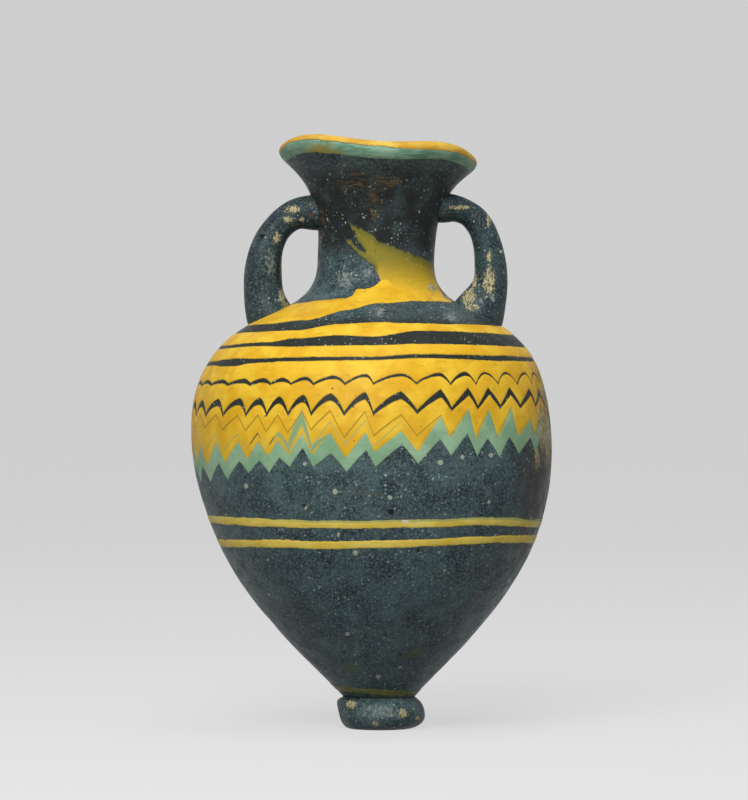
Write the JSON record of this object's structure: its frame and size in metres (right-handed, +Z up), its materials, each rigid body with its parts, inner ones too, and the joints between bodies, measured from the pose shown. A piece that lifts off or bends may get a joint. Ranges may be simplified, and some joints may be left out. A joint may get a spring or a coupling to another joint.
{
  "type": "amphoriskos",
  "caption": "Small core-formed glass oil flask with rod handles, a flared mouth, a knob foot and combed trails wound round its shoulder.",
  "frame": {"origin": "centre of the flat underside of the foot", "axes": "+Z up along the vessel towards its mouth, X through the two handles, -Y towards the side with the smear on the neck"},
  "size_m": [0.0506, 0.0506, 0.0825],
  "materials": {
    "blue_glass": "opaque dark blue-grey core-formed glass, dulled and finely pitted",
    "yellow_glass": "opaque yellow glass thread, rolled flush, satin",
    "turquoise_glass": "opaque turquoise glass thread, rolled flush, satin",
    "olive_glass": "thin olive glass trail, dulled"
  },
  "bodies": {
    "root": {"vessel_wall": "blue_glass", "foot_pad": "blue_glass", "handle_left": "blue_glass", "handle_right": "blue_glass", "lip_trail_yellow": "yellow_glass", "lip_trail_turquoise": "turquoise_glass", "shoulder_thread_yellow": "yellow_glass", "belly_thread_turquoise": "turquoise_glass", "lower_thread_upper": "yellow_glass", "lower_thread_lower": "yellow_glass", "base_trail_olive": "olive_glass"}
  },
  "joints": []
}
